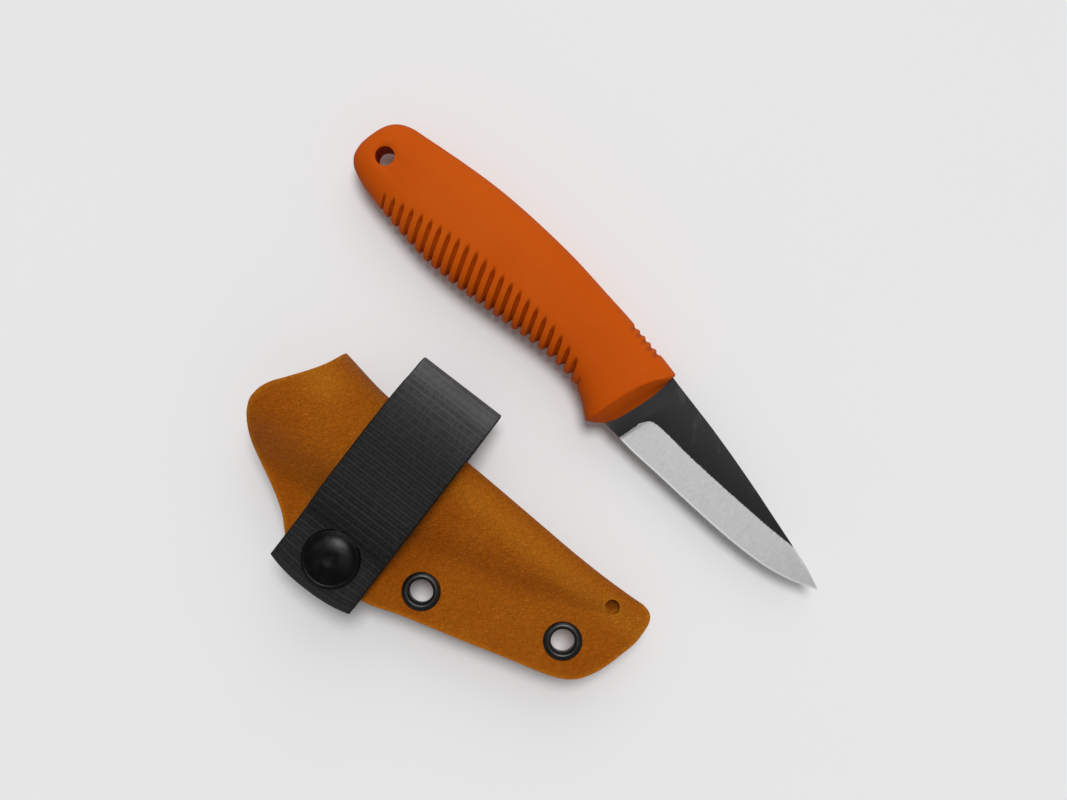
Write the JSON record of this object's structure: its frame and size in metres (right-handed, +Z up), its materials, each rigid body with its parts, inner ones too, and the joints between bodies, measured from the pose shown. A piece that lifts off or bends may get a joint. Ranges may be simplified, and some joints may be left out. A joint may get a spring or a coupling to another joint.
{
  "type": "rigging knife",
  "caption": "Fixed-blade knife with a ribbed soft grip, lying drawn beside its folded sheath with eyelets and a snap strap.",
  "frame": {"origin": "on the floor under the middle of the bounding box", "axes": "+X along the sheath's fold, from its mouth to its tip; +Y from the flange towards the fold and on to the drawn knife; +Z up from the floor that both lie on"},
  "size_m": [0.1876, 0.126, 0.0282],
  "materials": {
    "blade": "black coating with a bare satin ground edge",
    "grip": "matte soft rubber",
    "sheath": "pebbled moulded sheet",
    "strap": "coated ribbed webbing",
    "eyelet": "black lacquered metal",
    "cap": "black lacquered metal",
    "snap_steel": "plain nickel-plated metal"
  },
  "bodies": {
    "sheath": {"sheath_shell": "sheath", "strap_back": "strap", "eyelet_front": "eyelet", "eyelet_tip": "eyelet", "snap_post": "cap", "snap_stud": "snap_steel"},
    "strap_flap": {"strap_front": "strap", "snap_cap": "cap", "snap_socket": "snap_steel", "snap_spring": "snap_steel"},
    "knife": {"blade_and_tang": "blade", "handle_grip": "grip"}
  },
  "joints": [
    {"name": "strap_opens", "type": "hinge", "parent": "sheath", "child": "strap_flap", "pos_m": [-0.02597, 0.00595, 0.0141], "axis": [-1, 0, 0], "range_deg": [0, 90]},
    {"name": "knife_lifts_off", "type": "slide", "parent": "sheath", "child": "knife", "axis": [0, 0, 1], "range_m": [-0.0005, 0.12]}
  ]
}
